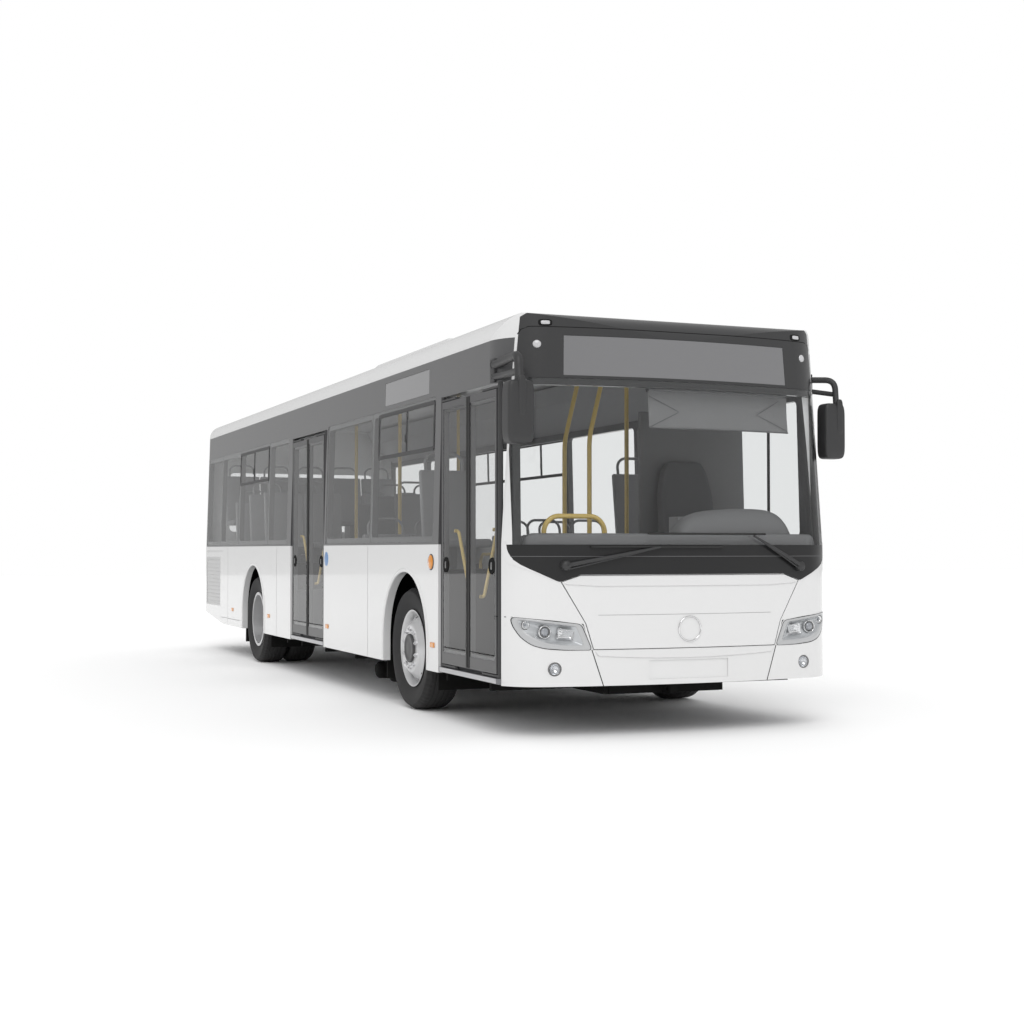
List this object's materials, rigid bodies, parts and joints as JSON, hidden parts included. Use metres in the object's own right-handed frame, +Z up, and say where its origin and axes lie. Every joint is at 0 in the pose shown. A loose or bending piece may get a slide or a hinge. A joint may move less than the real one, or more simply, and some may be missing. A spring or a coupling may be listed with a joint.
{
  "type": "low-floor city bus",
  "caption": "Rigid low-floor city bus with double-leaf gliding doors, steered front wheels, twin rear wheels, wide windscreen, dark glazed band and hooked mirrors.",
  "frame": {"origin": "on the ground under the middle of the overall box", "axes": "+Z up, the front faces -Y, +X is the driver's side, the doors are on the -X side"},
  "size_m": [2.845, 10.835, 2.9852],
  "materials": {
    "body_white": "gloss white paint",
    "band_grey": "dark grey gloss band",
    "mask_black": "dark grey satin",
    "tinted_glass": "tinted glass",
    "lamp_clear": "clear lens",
    "lamp_red": "red lens",
    "trim_black": "moulded black plastic",
    "door_grey": "dark anodised frame",
    "display_grey": "grey display glass",
    "grille_grey": "light grey",
    "underbody": "black chassis paint",
    "floor_covering": "speckled floor covering",
    "rubber_black": "rubber",
    "engine_grey": "cast",
    "seat_grey": "moulded plastic",
    "seat_fabric": "dark woven cloth",
    "rail_yellow": "yellow powder coat",
    "trim_dark": "grained dark plastic",
    "partition_dark": "dark panel",
    "lining_grey": "light lining",
    "tyre": "rubber",
    "wheel_silver": "polished",
    "wheel_grey": "silver paint"
  },
  "bodies": {
    "body": {"air_springs": "rubber_black", "cab_partition": "partition_dark", "ceiling_ducts": "lining_grey", "chassis_frame": "underbody", "dashboard": "trim_dark", "destination_displays": "display_grey", "driver_seat": "seat_fabric", "engine": "engine_grey", "floor": "floor_covering", "front_axle": "underbody", "front_bumper": "body_white", "front_corners": "body_white", "front_mask": "mask_black", "grab_rails": "rail_yellow", "headlamps": "lamp_clear", "lower_side_panels": "body_white", "mirrors": "trim_black", "passenger_seats": "seat_grey", "rear_axle": "underbody", "rear_frame": "underbody", "rear_wall": "body_white", "roof": "body_white", "roof_air_conditioner": "body_white", "side_grille": "grille_grey", "side_windows": "tinted_glass", "tail_lamps": "lamp_red", "tanks": "underbody", "ticket_machine": "seat_grey", "wheel_housings": "underbody", "window_frames": "band_grey", "windscreen": "tinted_glass", "wipers": "trim_black"},
    "steering_knuckle_left": {"steering_knuckle_left": "underbody"},
    "steering_knuckle_right": {"steering_knuckle_right": "underbody"},
    "front_wheel_left": {"front_wheel_left": "wheel_silver", "front_tyre_left": "tyre"},
    "front_wheel_right": {"front_wheel_right": "wheel_silver", "front_tyre_right": "tyre"},
    "rear_wheels_left": {"rear_wheels_left": "wheel_grey", "rear_tyres_left": "tyre"},
    "rear_wheels_right": {"rear_wheels_right": "wheel_grey", "rear_tyres_right": "tyre"},
    "track_rod": {"track_rod": "underbody"},
    "steering_wheel": {"steering_wheel": "trim_black"},
    "front_hatch": {"front_hatch": "body_white"},
    "engine_cover": {"engine_cover": "body_white"},
    "front_door_front_pillar": {"front_door_front_pillar": "trim_black"},
    "front_door_front_leaf": {"front_door_front_leaf": "door_grey", "front_door_front_glass": "tinted_glass"},
    "front_door_rear_pillar": {"front_door_rear_pillar": "trim_black"},
    "front_door_rear_leaf": {"front_door_rear_leaf": "door_grey", "front_door_rear_glass": "tinted_glass"},
    "mid_door_front_pillar": {"mid_door_front_pillar": "trim_black"},
    "mid_door_front_leaf": {"mid_door_front_leaf": "door_grey", "mid_door_front_glass": "tinted_glass"},
    "mid_door_rear_pillar": {"mid_door_rear_pillar": "trim_black"},
    "mid_door_rear_leaf": {"mid_door_rear_leaf": "door_grey", "mid_door_rear_glass": "tinted_glass"}
  },
  "joints": [
    {"name": "steering_left", "type": "hinge", "parent": "body", "child": "steering_knuckle_left", "pos_m": [0.92, -2.89, 0.475], "axis": [0, 0, 1], "range_deg": [-40, 40]},
    {"name": "steering_right", "type": "hinge", "parent": "body", "child": "steering_knuckle_right", "pos_m": [-0.92, -2.89, 0.475], "axis": [0, 0, 1], "range_deg": [-40, 40]},
    {"name": "track_rod_joint", "type": "hinge", "parent": "steering_knuckle_left", "child": "track_rod", "pos_m": [0.92, -2.64, 0.203], "axis": [0, 0, 1], "range_deg": [-40, 40]},
    {"name": "front_wheel_left_spin", "type": "hinge", "parent": "steering_knuckle_left", "child": "front_wheel_left", "pos_m": [1.09, -2.89, 0.475], "axis": [1, 0, 0], "continuous": true},
    {"name": "front_wheel_right_spin", "type": "hinge", "parent": "steering_knuckle_right", "child": "front_wheel_right", "pos_m": [-1.09, -2.89, 0.475], "axis": [1, 0, 0], "continuous": true},
    {"name": "rear_wheels_left_spin", "type": "hinge", "parent": "body", "child": "rear_wheels_left", "pos_m": [0.944, 2.52, 0.475], "axis": [1, 0, 0], "continuous": true},
    {"name": "rear_wheels_right_spin", "type": "hinge", "parent": "body", "child": "rear_wheels_right", "pos_m": [-0.944, 2.52, 0.475], "axis": [1, 0, 0], "continuous": true},
    {"name": "steering_wheel_turn", "type": "hinge", "parent": "body", "child": "steering_wheel", "pos_m": [0.64, -4.588, 1.281], "axis": [0, 0.7547, 0.6561], "range_deg": [-720, 720]},
    {"name": "front_door_front_pillar_turn", "type": "hinge", "parent": "body", "child": "front_door_front_pillar", "pos_m": [-1.243, -4.845, 0.885], "axis": [0, 0, 1], "range_deg": [-90, 0]},
    {"name": "front_door_front_leaf_turn", "type": "hinge", "parent": "front_door_front_pillar", "child": "front_door_front_leaf", "pos_m": [-1.243, -4.55213, 0.885], "axis": [0, 0, 1], "range_deg": [0, 180]},
    {"name": "front_door_rear_pillar_turn", "type": "hinge", "parent": "body", "child": "front_door_rear_pillar", "pos_m": [-1.243, -3.715, 0.885], "axis": [0, 0, 1], "range_deg": [0, 90]},
    {"name": "front_door_rear_leaf_turn", "type": "hinge", "parent": "front_door_rear_pillar", "child": "front_door_rear_leaf", "pos_m": [-1.243, -4.00787, 0.885], "axis": [0, 0, 1], "range_deg": [-180, 0]},
    {"name": "mid_door_front_pillar_turn", "type": "hinge", "parent": "body", "child": "mid_door_front_pillar", "pos_m": [-1.243, -0.455, 0.885], "axis": [0, 0, 1], "range_deg": [-90, 0]},
    {"name": "mid_door_front_leaf_turn", "type": "hinge", "parent": "mid_door_front_pillar", "child": "mid_door_front_leaf", "pos_m": [-1.243, -0.13716, 0.885], "axis": [0, 0, 1], "range_deg": [0, 180]},
    {"name": "mid_door_rear_pillar_turn", "type": "hinge", "parent": "body", "child": "mid_door_rear_pillar", "pos_m": [-1.243, 0.775, 0.885], "axis": [0, 0, 1], "range_deg": [0, 90]},
    {"name": "mid_door_rear_leaf_turn", "type": "hinge", "parent": "mid_door_rear_pillar", "child": "mid_door_rear_leaf", "pos_m": [-1.243, 0.45716, 0.885], "axis": [0, 0, 1], "range_deg": [-180, 0]},
    {"name": "front_hatch_lift", "type": "hinge", "parent": "body", "child": "front_hatch", "pos_m": [0, -5.174, 1.08], "axis": [1, 0, 0], "range_deg": [-65, 0]},
    {"name": "engine_cover_lift", "type": "hinge", "parent": "body", "child": "engine_cover", "pos_m": [0, 5.434, 1.264], "axis": [1, 0, 0], "range_deg": [0, 75]}
  ],
  "couplings": [
    {"joint": "steering_right", "follows": "steering_left", "ratio": 1},
    {"joint": "track_rod_joint", "follows": "steering_left", "ratio": -1},
    {"joint": "steering_wheel_turn", "follows": "steering_left", "ratio": 18},
    {"joint": "front_door_front_leaf_turn", "follows": "front_door_front_pillar_turn", "ratio": -2},
    {"joint": "front_door_rear_pillar_turn", "follows": "front_door_front_pillar_turn", "ratio": -1},
    {"joint": "front_door_rear_leaf_turn", "follows": "front_door_front_pillar_turn", "ratio": 2},
    {"joint": "mid_door_front_leaf_turn", "follows": "mid_door_front_pillar_turn", "ratio": -2},
    {"joint": "mid_door_rear_pillar_turn", "follows": "mid_door_front_pillar_turn", "ratio": -1},
    {"joint": "mid_door_rear_leaf_turn", "follows": "mid_door_front_pillar_turn", "ratio": 2}
  ]
}
